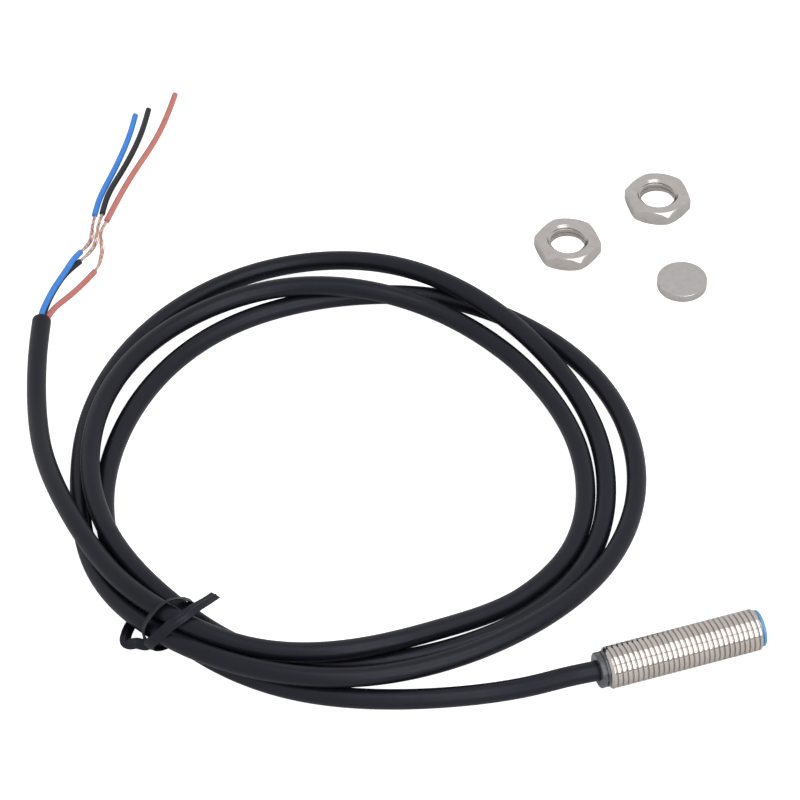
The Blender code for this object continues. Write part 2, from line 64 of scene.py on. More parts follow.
# One thread's outline: (share of the pitch from the middle of the crest, height as a share of the depth)
THREAD_FORM = ((0.0, 1.0), (0.14, 1.0), (0.26, 0.99), (0.31, 0.94), (0.345, 0.8), (0.42, 0.12),
               (0.45, 0.03), (0.5, 0.0))

# Barrel, cap and bush
BARREL_BORE_RADIUS = 2.95 * MM
BARREL_RIM_RADIUS = CREST_RADIUS - THREAD_DEPTH - 0.1 * MM     # the end faces, inside the chamfers
BARREL_CHAMFER_SLOPE = 1.2           # rise outward for each unit along the axis
BARREL_BORE_EDGE = 0.08 * MM
BARREL_SIDES = 96
CAP_EDGE = 0.32 * MM
CAP_SEAT_EDGE = 0.06 * MM
CAP_SEAT_GAP = 0.05 * MM
CAP_SKIRT_RADIUS = 2.5 * MM
CAP_SKIRT_LENGTH = 4.0 * MM
CAP_WALL = 0.5 * MM
BUSH_SEAT_GAP = 0.03 * MM
BUSH_BORE_GAP = 0.02 * MM
BUSH_LIP = 0.22 * MM
BUSH_STEP_EDGE = 0.07 * MM
BUSH_FLANGE = 0.9 * MM               # the outer ring's length, then a groove, then a second ring
BUSH_GROOVE = 0.25 * MM
BUSH_GROOVE_DEPTH = 0.3 * MM
BUSH_SKIRT_RADIUS = 2.5 * MM
BUSH_SKIRT_LENGTH = 3.0 * MM
ROUND_SIDES = 72

# Lock nuts and magnet
NUT_HALF_FLATS = 6.0 * MM
NUT_MINOR_RADIUS = 3.5 * MM
NUT_MOUTH_RADIUS = 4.2 * MM
NUT_CORNER_FILLET = 0.8 * MM
NUT_CHAMFER_START = 0.98 * NUT_HALF_FLATS      # the flat ring on each face ends here
NUT_CHAMFER_SLOPE = 0.7              # drop for each unit outward
NUT_EDGE = 0.05 * MM                 # between the chamfer and the side, at the corners and along them
NUT_CORNERS = {"lock_nut_1": 32.0, "lock_nut_2": 27.5}      # direction of a corner, in degrees
MAGNET_EDGE = 0.12 * MM
MAGNET_SIDES = 120
MAGNET_NICK_SIZE = 0.5 * MM
MAGNET_NICK_DEPTH = 0.012            # as a share of the radius

# Cable
CABLE_RADIUS = 1.9 * MM
CORE_RADIUS = 0.6 * MM
JACKET_EDGE = 0.35 * MM
CORE_EDGE = 0.08 * MM
INNER_END_X = BARREL_LOW.x + 4.5 * MM
WIRES = 12                           # copper wires in each core
WIRE_RADIUS = 0.075 * MM
WIRE_EDGE = 0.02 * MM
BUNDLE_HEART = 0.08 * MM             # how near the middle of a bundle its first wire runs
BUNDLE_SPREAD = 0.18 * MM            # how much farther out the last one runs
BUNDLE_TWIST = 0.8                   # turns from end to end
STRAY_EVERY = 5                      # one wire in so many stands away from the rest
COIL_CENTRE = Vector((-55.5, 67.0, 0.0)) * MM
TIE_CLOCK = 210
STATION_STEP = 20                    # degrees between the stations of a turn
# (radius, height of the centreline above the surface) in mm, clockwise from the tie
TURNS = (
    ((56.6, 2.8), (53.0, 2.1), (49.4, 1.9), (46.7, 1.9), (45.4, 1.9), (44.9, 1.9),
     (44.6, 1.9), (45.3, 1.9), (47.2, 1.9), (48.6, 1.9), (50.4, 1.9), (52.0, 1.9),
     (53.3, 2.0), (54.1, 2.8), (54.8, 4.2), (56.3, 5.0), (58.7, 5.5), (60.1, 5.8)),
    ((59.8, 4.7), (57.4, 2.2), (54.3, 1.9), (53.8, 1.9), (54.4, 1.9), (55.4, 1.9),
     (55.8, 2.1), (53.1, 3.7), (47.8, 5.7), (45.5, 4.4), (45.2, 2.4), (45.9, 1.9),
     (47.7, 1.9), (50.2, 1.9), (51.3, 1.9), (51.4, 1.9), (52.5, 1.9), (53.3, 2.2)),
    ((53.3, 5.5), (52.7, 6.1), (52.0, 5.6), (51.5, 5.1), (51.0, 4.4), (49.5, 4.3),
     (46.4, 5.4), (43.2, 5.4), (42.1, 3.1), (40.8, 1.9), (40.2, 1.9), (41.4, 1.9),
     (43.7, 1.9), (46.2, 1.9), (46.8, 1.9), (47.7, 3.8), (52.2, 6.0), (55.7, 6.2)),
)
# Free stretches of the cable: (x, y, height above the surface) in mm
LEAD_ROUTE = ((-32.4, 0.0, 4.0), (-35.0, 0.2, 4.0), (-38.5, 0.7, 3.6), (-43.5, 1.4, 2.8),
              (-49.0, 2.4, 2.1), (-55.5, 3.6, 1.9), (-66.0, 6.2, 1.9), (-76.3, 10.0, 1.9),
              (-85.5, 15.1, 1.9), (-93.4, 21.8, 2.0), (-99.8, 29.7, 2.4))
TAIL_ROUTE = ((-104.8, 37.6, 7.7), (-109.3, 47.0, 7.2), (-111.8, 57.1, 6.5), (-113.1, 67.0, 5.9),
              (-113.5, 77.2, 4.7), (-112.9, 87.9, 3.2), (-110.9, 99.0, 2.2), (-108.5, 108.0, 1.9),
              (-105.7, 116.5, 1.9), (-102.9, 123.8, 1.9))

# Stripped end: (x, y, height above the surface) in mm
CORES = {
    "blue": ((-103.5, 122.6, 2.5), (-102.8, 124.4, 2.6), (-100.9, 127.3, 2.9), (-98.2, 131.0, 2.7),
             (-95.0, 134.8, 2.4), (-92.4, 138.1, 1.9), (-89.9, 141.1, 0.8)),
    "black": ((-103.4, 122.8, 1.25), (-102.6, 124.5, 1.15), (-100.3, 129.0, 0.8), (-97.5, 132.9, 0.65),
              (-94.5, 136.1, 0.62), (-90.7, 138.7, 0.62)),
    "brown": ((-102.5, 122.2, 1.9), (-101.7, 123.9, 1.8), (-99.6, 126.4, 1.6), (-96.7, 128.8, 1.0),
              (-92.4, 132.0, 0.62), (-88.7, 135.0, 0.62)),
}
STRANDS = {
    "blue": ((-90.4, 140.8, 0.8), (-89.5, 141.6, 0.6), (-87.4, 143.7, 0.5), (-85.9, 146.8, 0.5),
             (-84.4, 150.0, 0.55), (-83.8, 151.2, 0.62)),
    "black": ((-91.2, 138.5, 0.62), (-90.1, 139.2, 0.6), (-86.9, 142.1, 0.8), (-84.7, 146.4, 1.2),
              (-82.9, 149.9, 0.8), (-82.3, 151.1, 0.7)),
    "brown": ((-89.3, 134.6, 0.62), (-88.3, 135.5, 0.6), (-86.2, 139.2, 0.5), (-85.3, 142.0, 0.5),
              (-84.6, 144.8, 0.5), (-82.8, 147.8, 0.5), (-81.9, 148.9, 0.62)),
}
SLEEVES = {
    "blue": ((-84.2, 150.6, 0.62), (-81.9, 154.9, 0.62), (-78.2, 160.1, 0.62),
             (-73.8, 166.3, 0.62), (-70.3, 171.9, 0.62), (-67.6, 177.0, 0.62)),
    "black": ((-82.6, 150.5, 0.7), (-80.0, 155.3, 0.62), (-75.7, 160.8, 0.62),
              (-70.9, 167.0, 0.62), (-67.4, 172.4, 0.62), (-64.5, 177.8, 0.62)),
    "brown": ((-82.3, 148.3, 0.62), (-78.6, 153.3, 0.62), (-72.8, 160.5, 0.62),
              (-66.4, 167.8, 0.62), (-61.9, 174.0, 0.62), (-57.9, 180.5, 0.62)),
}

# Twist tie, seen from the middle of the bundle: (outward, along the coil, height above the surface) in mm,
# then the way that the ribbon's face looks there, in the same three directions
TIE_RADIUS = 56.75 * MM
TIE_ROUTE = (
    ((0.4, -5.8, 0.5), (0.1, 0.0, 1.0)), ((2.6, -4.8, 1.0), (0.4, 0.3, 0.9)),
    ((4.6, -3.8, 1.5), (0.5, 0.5, 0.7)), ((6.1, -2.9, 1.7), (0.5, 0.5, 0.7)),
    ((7.0, -2.0, 1.7), (0.5, 0.5, 0.7)), ((6.9, -1.1, 1.8), (0.5, 0.5, 0.7)),
    ((6.0, -0.2, 1.9), (0.5, 0.5, 0.7)), ((5.4, 1.1, 1.9), (0.6, 0.5, 0.6)),
    ((5.2, 2.0, 2.6), (0.9, 0.3, 0.4)), ((5.4, 1.6, 4.0), (0.9, -0.4, 0.2)),
    ((5.4, 1.1, 5.4), (0.8, -0.6, 0.3)),
    ((4.7, 1.1, 7.2), (0.6, -0.7, 0.5)), ((3.2, 1.4, 8.9), (0.4, -0.7, 0.8)),
    ((1.1, 1.8, 9.95), (0.1, -0.7, 0.8)), ((-1.3, 2.4, 9.8), (-0.3, -0.6, 0.8)),
    ((-3.6, 3.0, 8.4), (-0.8, -0.2, 0.7)), ((-5.3, 3.2, 6.6), (-1.0, 0.0, 0.3)),
    ((-5.4, 3.3, 4.8), (-1.0, 0.0, -0.2)), ((-4.3, 3.5, 3.1), (-0.8, 0.0, -0.7)),
    ((-2.6, 3.6, 1.6), (-0.6, 0.0, -0.8)), ((-0.6, 3.7, 0.6), (-0.1, 0.0, -1.0)),
    ((1.6, 3.7, 0.9), (0.4, 0.0, -0.9)), ((4.2, 3.2, 1.5), (0.6, 0.0, -0.8)),
    ((5.7, 2.8, 2.6), (0.9, 0.1, -0.3)), ((5.9, 3.2, 4.2), (0.9, 0.3, 0.3)),
    ((4.9, 4.6, 6.4), (0.7, 0.4, 0.6)), ((3.2, 6.0, 8.9), (0.5, 0.4, 0.8)),
    ((1.0, 6.9, 9.95), (0.3, 0.3, 0.9)), ((-2.4, 7.1, 9.9), (0.2, 0.2, 1.0)),
    ((-5.4, 6.9, 9.0), (0.1, 0.1, 1.0)), ((-8.6, 6.5, 7.9), (0.1, 0.1, 1.0)),
)
# Half of the ribbon's outline: (across, thick) in mm, over its wire in the middle
RIBBON_HALF = ((1.05, 0.04), (1.0, 0.09), (0.8, 0.1), (0.6, 0.13), (0.4, 0.1), (0.26, 0.14), (0.13, 0.23),
               (0.0, 0.26), (-0.13, 0.23), (-0.26, 0.14), (-0.4, 0.1), (-0.6, 0.13), (-0.8, 0.1),
               (-1.0, 0.09), (-1.05, 0.04))


# Stage, light and camera, in metres
PAPER_RADIUS = 3.0
PAPER_GLOW = 0.9                     # what the camera alone sees, on top of the paper's own light
BACKDROP_COLOUR = (0.97, 0.98, 1.0, 1.0)
BACKDROP_STRENGTH = 0.82
# Where each softbox starts and ends, in degrees above the surface, from the front up and over
SOFTBOXES = (("low", 8.5, 46.5), ("middle", 50.0, 80.0), ("high", 82.0, 90.0))
SLAT_FOOT = 4.0                      # where the lowest dark slat starts, on the same scale
SOFTBOX_DISTANCE = 0.8
SOFTBOX_LENGTH = 0.6
SOFTBOX_SIDEWAYS = 0.25              # as a share of the distance
SOFTBOX_POWER = 3.4                  # watts for each metre of a softbox's height
VIEW_TARGET = Vector((-42.6 * MM, 81.5 * MM, FLOOR_Z))
VIEW_DISTANCE = 0.94
VIEW_BEARING = math.radians(19.0)    # how far the camera stands to the rear of the barrel's side
VIEW_TILT = math.radians(45.4)       # how steeply it looks down
VIEW_ANGLE = math.radians(9.484)


# Finishes

def noise_node(nodes, links, source, size, detail=2.0):
    texture = nodes.new("ShaderNodeTexNoise")
    texture.inputs["Scale"].default_value = 1.0 / (size * MM)
    texture.inputs["Detail"].default_value = detail
    links.new(source, texture.inputs["Vector"])
    return texture.outputs["Fac"]


def ranged(nodes, links, source, low, high, start=0.3, end=0.7):
    spread = nodes.new("ShaderNodeMapRange")
    spread.inputs["From Min"].default_value = start
    spread.inputs["From Max"].default_value = end
    spread.inputs["To Min"].default_value = low
    spread.inputs["To Max"].default_value = high
    links.new(source, spread.inputs["Value"])
    return spread.outputs["Result"]


def finish(name, light, dark, roughness, metallic=0.0, patch=3.0, grain=0.15, relief=0.004,
           stretch=(1.0, 1.0, 1.0), skin=False, **sockets):
    """A finish whose colour wanders between two shades, with fine relief and uneven gloss.

    patch and grain are the sizes in mm of the colour patches and of the relief. relief is its height in mm.
    stretch draws the relief out: the larger a number, the finer the relief is in that direction.
    skin finishes follow the tube that they are on, with their third direction along it.
    """
    material = bpy.data.materials.new(name)
    material.use_nodes = True
    nodes, links = material.node_tree.nodes, material.node_tree.links
    shader = nodes["Principled BSDF"]
    if skin:
        place = nodes.new("ShaderNodeAttribute")
        place.attribute_name = "skin"
        source = place.outputs["Vector"]
    else:
        place = nodes.new("ShaderNodeTexCoord")
        source = place.outputs["Object"]
    drawn = nodes.new("ShaderNodeVectorMath")
    drawn.operation = "MULTIPLY"
    drawn.inputs[1].default_value = stretch
    links.new(source, drawn.inputs[0])

    patches = noise_node(nodes, links, source, patch)
    shades = nodes.new("ShaderNodeMix")
    shades.data_type = "RGBA"
    shades.inputs["A"].default_value = (*dark, 1.0)
    shades.inputs["B"].default_value = (*light, 1.0)
    links.new(ranged(nodes, links, patches, 0.0, 1.0), shades.inputs["Factor"])
    links.new(shades.outputs["Result"], shader.inputs["Base Color"])

    relief_noise = noise_node(nodes, links, drawn.outputs["Vector"], grain, 4.0)
    gloss = ranged(nodes, links, relief_noise, roughness * 0.8, roughness * 1.2)
    links.new(gloss, shader.inputs["Roughness"])
    bump = nodes.new("ShaderNodeBump")
    bump.inputs["Distance"].default_value = relief * MM
    links.new(relief_noise, bump.inputs["Height"])
    links.new(bump.outputs["Normal"], shader.inputs["Normal"])

    shader.inputs["Metallic"].default_value = metallic
    for socket, value in sockets.items():
        shader.inputs[socket.replace("_", " ")].default_value = value
    return material


BARREL_NICKEL = finish("turned_nickel", (0.65, 0.60, 0.565), (0.58, 0.53, 0.495), 0.09, 1.0, patch=3.0,
                       grain=0.3, relief=0.0006, stretch=(2.0, 0.1, 0.1))
NUT_NICKEL = finish("stamped_nickel", (0.60, 0.56, 0.53), (0.55, 0.51, 0.48), 0.2, 1.0, patch=1.5,
                    grain=0.8, relief=0.006)
MAGNET_NICKEL = finish("magnet_nickel", (0.58, 0.545, 0.525), (0.53, 0.495, 0.475), 0.26, 1.0, patch=1.2,
                       grain=0.4, relief=0.003)
CAP_BLUE = finish("cap_plastic", (0.11, 0.325, 0.60), (0.095, 0.295, 0.55), 0.34, patch=1.5, grain=0.2,
                  relief=0.004, Subsurface_Weight=0.15, Subsurface_Scale=0.5 * MM)
BUSH_GREY = finish("bush_plastic", (0.075, 0.078, 0.09), (0.035, 0.037, 0.045), 0.22, patch=0.8, grain=0.2,
                   relief=0.004, Coat_Weight=0.4, Coat_Roughness=0.1)
JACKET = finish("cable_jacket", (0.0074, 0.0074, 0.0118), (0.0056, 0.0056, 0.0088), 0.36, patch=6.0,
                grain=0.22, relief=0.004, stretch=(1.0, 1.0, 0.12), skin=True,
                Specular_IOR_Level=0.3, Specular_Tint=(0.84, 0.87, 1.0, 1.0))
TIE_BLACK = finish("tie_plastic", (0.0085, 0.0086, 0.0135), (0.006, 0.0061, 0.0095), 0.36, patch=2.0,
                   grain=0.12, relief=0.005, Specular_IOR_Level=0.3, Specular_Tint=(0.82, 0.86, 1.0, 1.0))
CORE_FINISH = {
    "blue": finish("blue_insulation", (0.04, 0.24, 0.73), (0.03, 0.205, 0.65), 0.36, patch=2.0, grain=0.12,
                   relief=0.003, stretch=(1.0, 1.0, 0.15), skin=True),
    "black": finish("black_insulation", (0.010, 0.011, 0.014), (0.008, 0.009, 0.011), 0.36, patch=2.0,
                    grain=0.12, relief=0.003, stretch=(1.0, 1.0, 0.15), skin=True),
    "brown": finish("brown_insulation", (0.57, 0.185, 0.15), (0.50, 0.16, 0.13), 0.36, patch=2.0,
                    grain=0.12, relief=0.003, stretch=(1.0, 1.0, 0.15), skin=True),
}
COPPER = finish("copper_wire", (0.90, 0.64, 0.56), (0.80, 0.53, 0.45), 0.34, 1.0, patch=0.5, grain=0.05,
                relief=0.002)

# The inside, which shows only where the barrel is cut away
INSIDE = {
    "circuit_board": finish("solder_mask", (0.02, 0.2, 0.08), (0.015, 0.16, 0.06), 0.4, patch=0.8, grain=0.1,
                            relief=0.01, Coat_Weight=0.4),
    "hall_sensor_chip": finish("sensor_epoxy", (0.025, 0.025, 0.027), (0.016, 0.016, 0.017), 0.5, patch=0.4,
                               grain=0.06, relief=0.01),
    "output_transistor": finish("transistor_epoxy", (0.022, 0.022, 0.024), (0.014, 0.014, 0.015), 0.5,
                                patch=0.4, grain=0.06, relief=0.01),
    "protection_diode": finish("diode_epoxy", (0.024, 0.023, 0.022), (0.016, 0.015, 0.015), 0.46, patch=0.4,
                               grain=0.06, relief=0.01),
    "pull_up_resistor": finish("resistor_glaze", (0.03, 0.03, 0.034), (0.02, 0.02, 0.024), 0.3, patch=0.3,
                               grain=0.05, relief=0.004),
    "filter_capacitor": finish("capacitor_ceramic", (0.42, 0.31, 0.2), (0.35, 0.25, 0.16), 0.45, patch=0.3,
                               grain=0.05, relief=0.006),
    "indicator_led": finish("led_lens", (0.7, 0.05, 0.03), (0.6, 0.035, 0.02), 0.2, patch=0.5, grain=0.1,
                            relief=0.002, Coat_Weight=0.6),
    "potting_plug": finish("potting_resin", (0.03, 0.03, 0.035), (0.02, 0.02, 0.024), 0.4, patch=1.0,
                           grain=0.3, relief=0.02, Coat_Weight=0.3),
    "blue_inner_wire": finish("blue_wire", (0.035, 0.24, 0.72), (0.025, 0.2, 0.64), 0.36, patch=1.0,
                              grain=0.1),
    "black_inner_wire": finish("black_wire", (0.014, 0.015, 0.018), (0.01, 0.011, 0.014), 0.38, patch=1.0,
                               grain=0.1),
    "brown_inner_wire": finish("brown_wire", (0.50, 0.145, 0.105), (0.44, 0.12, 0.09), 0.36, patch=1.0,
                               grain=0.1),
}


# Mesh tools

def piece(name, vertices, faces, material, body, slot, *nodes, skin=None, sharp=30.0):
    """A mesh that rides on a body and stands for the CAD nodes named."""
    mesh = bpy.data.meshes.new(name)
    mesh.from_pydata([tuple(v) for v in vertices], [], faces)
    if skin is not None:
        attribute = mesh.attributes.new("skin", "FLOAT_VECTOR", "POINT")
        attribute.data.foreach_set("vector", np.asarray(skin, dtype=np.float32).ravel())
    bm = bmesh.new()
    bm.from_mesh(mesh)
    bmesh.ops.remove_doubles(bm, verts=bm.verts, dist=0.0002 * MM)
    bmesh.ops.recalc_face_normals(bm, faces=bm.faces)
    bm.to_mesh(mesh)
    bm.free()
    mesh.materials.append(material)
    mesh.shade_smooth()
    mesh.set_sharp_from_angle(angle=math.radians(sharp))
    made = bpy.data.objects.new(name, mesh)
    bpy.context.scene.collection.objects.link(made)
    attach(made, body)
    if nodes:
        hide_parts(*nodes)
    return made


def lattice(rows, columns, closed=True, start=0):
    """The faces of a grid of vertices, rows after rows, whose columns close into a ring."""
    faces = []
    for i in range(rows - 1):
        for j in range(columns if closed else columns - 1):
            k = (j + 1) % columns
            faces.append((start + i * columns + j, start + i * columns + k,
                          start + (i + 1) * columns + k, start + (i + 1) * columns + j))
    return faces


def joined(*shapes):
    """Several (vertices, faces) as one."""
    vertices, faces = [], []
    for more, its_faces in shapes:
        faces += [tuple(i + len(vertices) for i in face) for face in its_faces]
        vertices += list(more)
    return vertices, faces


def turned(profile, directions):
    """A line of (radius, height along the axis) turned about X. It closes where the radius is nothing."""
    vertices = [(h, r * math.cos(a), r * math.sin(a)) for r, h in profile for a in directions]
    return vertices, lattice(len(profile), len(directions))


def around(sides):
    """Evenly spaced directions."""
    return [TURN * i / sides for i in range(sides)]


def arc(radius, height, edge, first, last, steps=5):
    """Points (radius, height) round a small arc about a point, from one angle in degrees to another."""
    return [(radius + edge * math.cos(math.radians(a)), height + edge * math.sin(math.radians(a)))
            for a in np.linspace(first, last, steps)]


def thread_height(phase):
    """How far the thread stands out of its root, as a share, at a share of the pitch from a crest."""
    away = abs((phase + 0.5) % 1.0 - 0.5)
    return float(np.interp(away, [p for p, _ in THREAD_FORM], [h for _, h in THREAD_FORM]))


def threaded(start, end, directions, root, out, limit):
    """A thread's surface between two heights along the axis, its rows following the helix.

    root is its root's radius, out is +1 for a thread on a shaft and -1 for one in a bore, and
    limit(radius, height) keeps it inside the chamfers.
    """
    phases = sorted({round(p, 4) for p, _ in THREAD_FORM} | {round(1.0 - p, 4) for p, _ in THREAD_FORM[1:-1]})
    turns = math.ceil((end - start) / PITCH) + 2
    columns = len(directions) + 1
    vertices = []
    for turn in range(turns):
        for phase in phases:
            for direction in [*directions, directions[0] + TURN]:
                share = (direction - directions[0]) / TURN
                height = start + (turn - 1 + phase + share) * PITCH
                radius = root + out * THREAD_DEPTH * thread_height(phase)
                height = min(max(height, start), end)
                radius = limit(radius, height)
                vertices.append((height, radius * math.cos(direction), radius * math.sin(direction)))
    return vertices, lattice(turns * len(phases), columns, closed=False)


def spline_through(points, spacing):
    """Points a given distance apart on the natural cubic spline through the given points."""
    knots = np.array(points, dtype=float)
    spans = np.linalg.norm(np.diff(knots[:, :3], axis=0), axis=1)
    stations = np.concatenate([[0.0], np.cumsum(spans)])
    count = len(knots)
    system = np.eye(count)
    right = np.zeros(knots.shape)
    for i in range(1, count - 1):
        system[i, i - 1:i + 2] = spans[i - 1], 2.0 * (spans[i - 1] + spans[i]), spans[i]
        right[i] = 6.0 * ((knots[i + 1] - knots[i]) / spans[i] - (knots[i] - knots[i - 1]) / spans[i - 1])
    bends = np.linalg.solve(system, right)
    steps = max(2, round(stations[-1] / spacing))
    curve = []
    for s in np.linspace(0.0, stations[-1], steps + 1):
        i = int(np.clip(np.searchsorted(stations, s, side="right") - 1, 0, count - 2))
        ahead, behind, span = stations[i + 1] - s, s - stations[i], spans[i]
        point = (bends[i] * ahead ** 3 + bends[i + 1] * behind ** 3) / (6.0 * span)
        point += (knots[i] / span - bends[i] * span / 6.0) * ahead
        point += (knots[i + 1] / span - bends[i + 1] * span / 6.0) * behind
        curve.append(point)
    return np.array(curve)


def placed(route):
    """Route points in millimetres and heights above the surface, as metres in the part's frame."""
    return [Vector((x, y, height)) * MM + Vector((0.0, 0.0, FLOOR_Z)) for x, y, height in route]


def directions_along(points):
    """The line's direction at each point, and the two directions across it."""
    ahead = np.gradient(points, axis=0)
    ahead /= np.linalg.norm(ahead, axis=1)[:, None]
    side = np.cross(ahead, (0.0, 0.0, 1.0))
    side /= np.linalg.norm(side, axis=1)[:, None]
    return ahead, side, np.cross(side, ahead)


def tube(points, radius, sides, edge):
    """A round tube along points with rounded ends: its vertices, its faces, and its skin coordinates."""
    ahead, side, up = directions_along(points)
    lengths = np.concatenate([[0.0], np.cumsum(np.linalg.norm(np.diff(points, axis=0), axis=1))])
    quarter = [(edge * (1.0 - math.sin(a)), radius - edge * (1.0 - math.cos(a)))
               for a in (0.0, math.pi / 6.0, math.pi / 3.0, math.pi / 2.0)]
    rings = [(0, back, thin) for back, thin in reversed(quarter)]
    rings += [(i, 0.0, radius) for i in range(1, len(points) - 1)]
    rings += [(len(points) - 1, -back, thin) for back, thin in quarter]
    vertices, skin = [], []
    for i, shift, thin in rings:
        centre = points[i] + ahead[i] * shift
        for k in range(sides):
            angle = TURN * k / sides
            across = side[i] * math.cos(angle) + up[i] * math.sin(angle)
            vertices.append(centre + across * thin)
            skin.append((math.cos(angle) * thin, math.sin(angle) * thin, lengths[i] + shift))
    faces = lattice(len(rings), sides)
    faces.append(tuple(range(sides)))
    faces.append(tuple(range((len(rings) - 1) * sides, len(rings) * sides)))
    return vertices, faces, skin


# Barrel, cap and bush

def barrel():
    """The barrel with its real helical thread, chamfered at both ends, and its bore."""
    rear, front = BARREL_LOW.x, BARREL_HIGH.x
    directions = around(BARREL_SIDES)
    edge, bore = BARREL_BORE_EDGE, BARREL_BORE_RADIUS + BARREL_BORE_EDGE

    def chamfered(radius, x):
        return min(radius, BARREL_RIM_RADIUS + min(x - rear, front - x) * BARREL_CHAMFER_SLOPE)

    inside = [(BARREL_RIM_RADIUS, front), *arc(bore, front - edge, edge, 90.0, 180.0),
              *arc(bore, rear + edge, edge, 180.0, 270.0), (BARREL_RIM_RADIUS, rear)]
    outside = threaded(rear, front, directions, CREST_RADIUS - THREAD_DEPTH, 1.0, chamfered)
    shape = joined(outside, turned(inside, directions))
    piece("barrel_thread", *shape, BARREL_NICKEL, "sensor", "nickel", "threaded_barrel", sharp=40.0)


def sensing_cap():
    """The cap's round-edged face, its seat against the barrel, and its skirt inside."""
    seat = BARREL_HIGH.x + CAP_SEAT_GAP
    skirt_end = seat - CAP_SKIRT_LENGTH
    edge, seat_edge = CAP_EDGE, CAP_SEAT_EDGE
    profile = [(0.0, 0.0), (CAP_RADIUS / 2.0, 0.0), *arc(CAP_RADIUS - edge, -edge, edge, 90.0, 0.0, 7),
               *arc(CAP_RADIUS - seat_edge, seat + seat_edge, seat_edge, 0.0, -90.0, 3),
               (CAP_SKIRT_RADIUS, seat), (CAP_SKIRT_RADIUS, skirt_end),
               (CAP_SKIRT_RADIUS - CAP_WALL, skirt_end), (CAP_SKIRT_RADIUS - CAP_WALL, -CAP_WALL),
               (0.0, -CAP_WALL)]
    shape = turned(profile, around(ROUND_SIDES))
    piece("cap", *shape, CAP_BLUE, "sensor", "cap_blue", "sensing_face_cap")


def bush():
    """The grey ring behind the barrel: a flange that closes round the cable, a groove, and a second ring."""
    rear, front = BUSH_LOW.x, BARREL_LOW.x - BUSH_SEAT_GAP
    bore, lip, step = CABLE_RADIUS + BUSH_BORE_GAP, BUSH_LIP, BUSH_STEP_EDGE
    flange = rear + BUSH_FLANGE
    groove = flange + BUSH_GROOVE
    neck = BUSH_RADIUS - BUSH_GROOVE_DEPTH
    inside = front + BUSH_SKIRT_LENGTH
    profile = [(bore, flange), *arc(bore + lip, rear + lip, lip, 180.0, 270.0),
               *arc(BUSH_RADIUS - lip, rear + lip, lip, 270.0, 360.0),
               *arc(BUSH_RADIUS - step, flange - step, step, 0.0, 90.0, 3),
               (neck, flange), (neck, groove),
               *arc(BUSH_RADIUS - step, groove + step, step, -90.0, 0.0, 3),
               *arc(BUSH_RADIUS - step, front - step, step, 0.0, 90.0, 3),
               (BUSH_SKIRT_RADIUS, front), (BUSH_SKIRT_RADIUS, inside), (bore, inside)]
    piece("bush", *turned(profile, around(ROUND_SIDES)), BUSH_GREY, "sensor", "bush_grey", "rear_bush")


# Lock nuts and magnet

def nut_directions():
    """(direction, radius of the sides) round a nut from one corner, close together at the corners."""
    half_side = math.radians(30.0)
    centre = (NUT_HALF_FLATS - NUT_CORNER_FILLET) / math.cos(half_side)
    tangent = math.atan2(NUT_CORNER_FILLET * math.sin(half_side),
                         centre + NUT_CORNER_FILLET * math.cos(half_side))
    steps = [tangent * share for share in (-0.75, -0.5, -0.25, 0.0, 0.25, 0.5, 0.75)]
    steps += list(np.linspace(tangent, 2.0 * half_side - tangent, 13))
    ring = []
    for side in range(6):
        for step in steps:
            from_corner = min(abs(step), 2.0 * half_side - step)
            if from_corner < tangent:
                sine = centre * math.sin(from_corner)
                radius = centre * math.cos(from_corner) + math.sqrt(NUT_CORNER_FILLET ** 2 - sine ** 2)
            else:
                radius = NUT_HALF_FLATS / math.cos(half_side - from_corner)
            ring.append((step + side * 2.0 * half_side, radius))
    return ring


def lock_nut(name):
    """A hexagon nut: a cone chamfers its faces, so each side is topped by an arc. Its bore is threaded."""
    low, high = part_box(name)
    thick = high.z - low.z
    ring = nut_directions()
    directions = [direction for direction, _ in ring]
    flat = NUT_CHAMFER_START - NUT_MOUTH_RADIUS
    rows = [[(NUT_MOUTH_RADIUS + flat * share, thick) for _ in ring] for share in (0.0, 0.35, 0.7, 0.97)]
    for share in (0.06, 0.5, 0.88, 1.0):
        row = []
        for _, side in ring:
            radius = NUT_CHAMFER_START + (side - NUT_CHAMFER_START) * share
            drop = (radius - NUT_CHAMFER_START) * NUT_CHAMFER_SLOPE
            row.append((radius, thick - drop - (NUT_EDGE if share == 1.0 else 0.0)))
        rows.append(row)
    rows += [[(radius, thick - height) for radius, height in row] for row in reversed(rows)]
    vertices = [(h, r * math.cos(a), r * math.sin(a)) for row in rows for (r, h), a in zip(row, directions)]

    def in_mouth(radius, height):
        return max(radius, NUT_MOUTH_RADIUS - min(height, thick - height))

    root = NUT_MINOR_RADIUS + THREAD_DEPTH
    bore = threaded(0.0, thick, directions, root, -1.0, in_mouth)
    vertices, faces = joined((vertices, lattice(len(rows), len(directions))), bore)
    centre = (low + high) / 2.0
    turned_up = Matrix(((0, 1, 0, 0), (0, 0, 1, 0), (1, 0, 0, 0), (0, 0, 0, 1)))
    stand = Matrix.Translation((centre.x, centre.y, low.z))
    stand @= Matrix.Rotation(math.radians(NUT_CORNERS[name]), 4, "Z") @ turned_up
    vertices = [stand @ Vector(v) for v in vertices]
    piece(f"{name}_threaded", vertices, faces, NUT_NICKEL, name, "nut_nickel", name, sharp=24.0)


